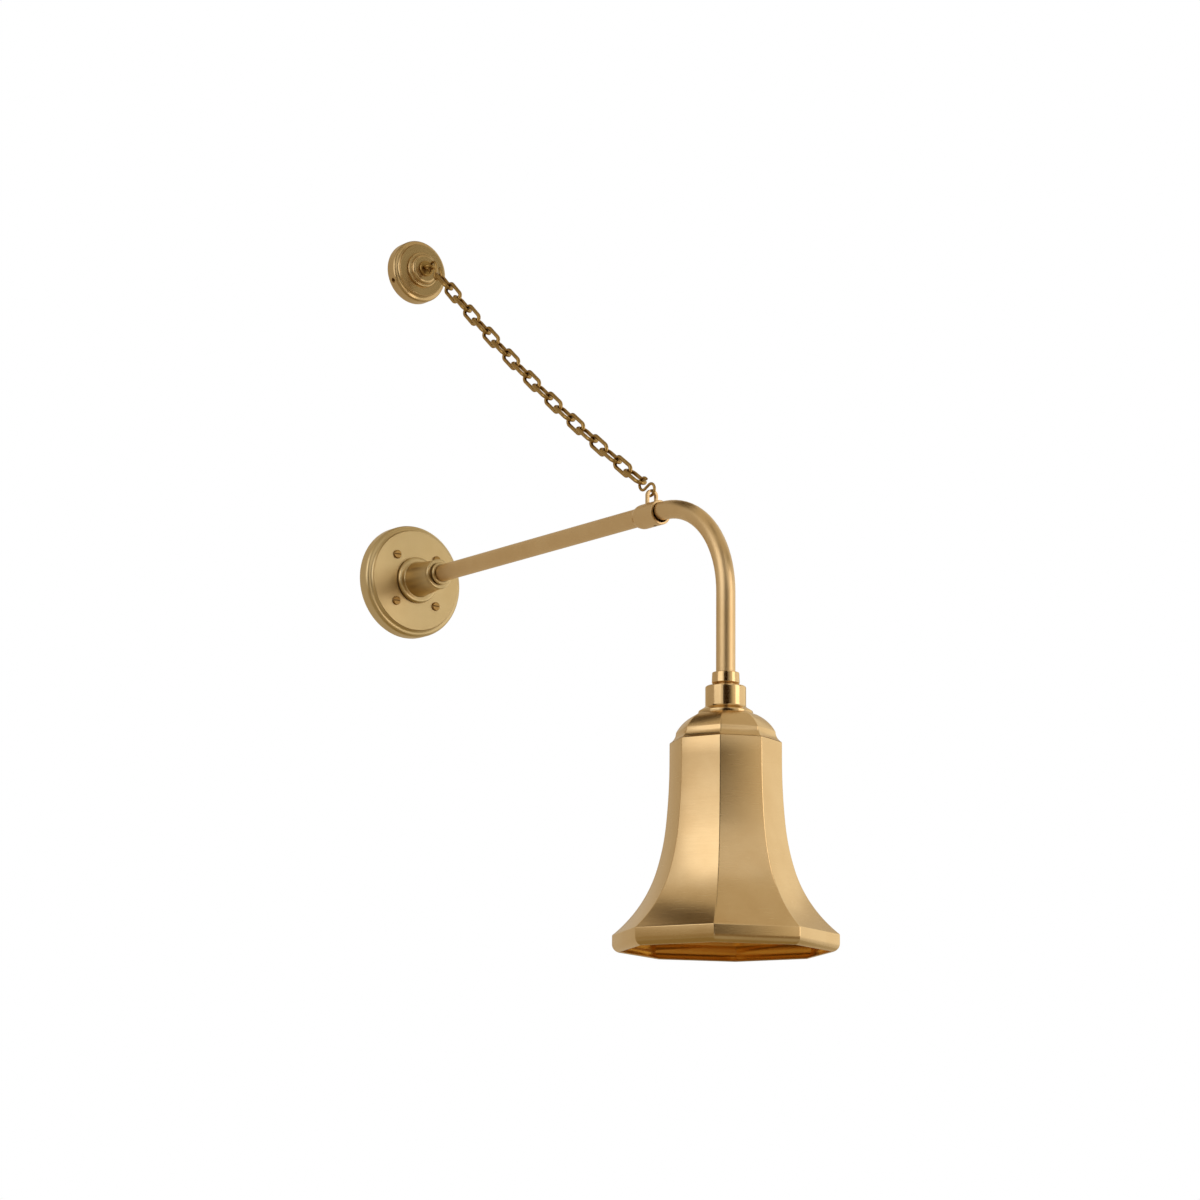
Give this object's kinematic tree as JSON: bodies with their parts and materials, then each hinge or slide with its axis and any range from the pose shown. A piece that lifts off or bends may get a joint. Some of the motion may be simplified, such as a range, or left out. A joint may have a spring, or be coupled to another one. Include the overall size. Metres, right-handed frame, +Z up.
{
  "type": "hanging pendant wall sconce",
  "caption": "Wall light with a bent tube arm, an eight-sided bell shade hanging open downwards, and a chain stay from a rosette higher on the wall.",
  "frame": {"origin": "centre of the lower wall plate on the wall plane, which is also the middle of its two box screw holes", "axes": "+Z up, -Y out of the wall along the arm, X along the wall"},
  "size_m": [0.2208, 0.6764, 0.8538],
  "materials": {
    "spun_brass": "satin lacquered, brushed in circles",
    "turned_brass": "satin lacquered, fine turning marks",
    "tube_brass": "satin lacquered, brushed round the tube",
    "shade_brass": "satin lacquered outside, brushed down each side; warmer inside",
    "chain_brass": "tumbled and aged wire",
    "screw_brass": "satin, darker in the slots",
    "plain_brass": "as machined",
    "zinc_steel": "zinc plated",
    "earth_screw_green": "green passivated",
    "holder_moulding": "glazed white ceramic-like moulding",
    "bush_moulding": "black moulded",
    "lead_sheath": "braided gold-coloured sheath"
  },
  "bodies": {
    "root": {"wall_plate": "spun_brass", "wall_bracket": "zinc_steel", "bracket_posts": "zinc_steel", "plate_screws": "screw_brass", "earth_screw": "earth_screw_green", "arm_socket": "turned_brass", "tube_ferrule": "turned_brass", "arm_nipple": "plain_brass", "arm_lock_nut": "plain_brass", "lead_bush": "bush_moulding", "arm_tube": "tube_brass", "arm_lead": "lead_sheath", "chain_collar": "turned_brass", "collar_screw": "screw_brass", "rosette": "spun_brass", "rosette_backing": "zinc_steel", "rosette_grub_screws": "screw_brass", "eye_bolt": "chain_brass", "eye_nut": "plain_brass", "drop_coupler": "turned_brass", "holder_nipple": "plain_brass", "holder_cup": "turned_brass", "shade_gallery": "turned_brass", "lamp_body": "holder_moulding", "screw_shell": "plain_brass", "centre_contact": "plain_brass", "shade_ring": "plain_brass", "shade": "shade_brass"},
    "chain_run": {"chain_link_02": "chain_brass", "chain_link_03": "chain_brass", "chain_link_04": "chain_brass", "chain_link_05": "chain_brass", "chain_link_06": "chain_brass", "chain_link_07": "chain_brass", "chain_link_08": "chain_brass", "chain_link_09": "chain_brass", "chain_link_10": "chain_brass", "chain_link_11": "chain_brass", "chain_link_12": "chain_brass", "chain_link_13": "chain_brass", "chain_link_14": "chain_brass", "chain_link_15": "chain_brass", "chain_link_16": "chain_brass", "chain_link_17": "chain_brass", "chain_link_18": "chain_brass"},
    "chain_upper_end": {"chain_link_01": "chain_brass"},
    "chain_lower_end": {"chain_link_19": "chain_brass"},
    "hook_upper": {"upper_hook": "chain_brass"},
    "hook_lower": {"lower_hook": "chain_brass"}
  },
  "joints": [
    {"name": "chain_sway", "type": "hinge", "parent": "root", "child": "chain_run", "pos_m": [0, -0.2419, 0.19408], "axis": [0, -0.7702, -0.6378], "range_deg": [-30, 30]},
    {"name": "upper_end_sway", "type": "hinge", "parent": "root", "child": "chain_upper_end", "pos_m": [0, -0.2419, 0.19408], "axis": [0, -0.7702, -0.6378], "range_deg": [-21.5, 21.5]},
    {"name": "lower_end_sway", "type": "hinge", "parent": "root", "child": "chain_lower_end", "pos_m": [0, -0.2419, 0.19408], "axis": [0, -0.7702, -0.6378], "range_deg": [-21.5, 21.5]},
    {"name": "upper_hook_sway", "type": "hinge", "parent": "root", "child": "hook_upper", "pos_m": [0, -0.2419, 0.19408], "axis": [0, -0.7702, -0.6378], "range_deg": [-12.5, 12.5]},
    {"name": "lower_hook_sway", "type": "hinge", "parent": "root", "child": "hook_lower", "pos_m": [0, -0.2419, 0.19408], "axis": [0, -0.7702, -0.6378], "range_deg": [-12.5, 12.5]}
  ],
  "couplings": [
    {"joint": "upper_end_sway", "follows": "chain_sway", "ratio": 0.7},
    {"joint": "lower_end_sway", "follows": "chain_sway", "ratio": 0.7},
    {"joint": "upper_hook_sway", "follows": "chain_sway", "ratio": 0.4},
    {"joint": "lower_hook_sway", "follows": "chain_sway", "ratio": 0.4}
  ]
}
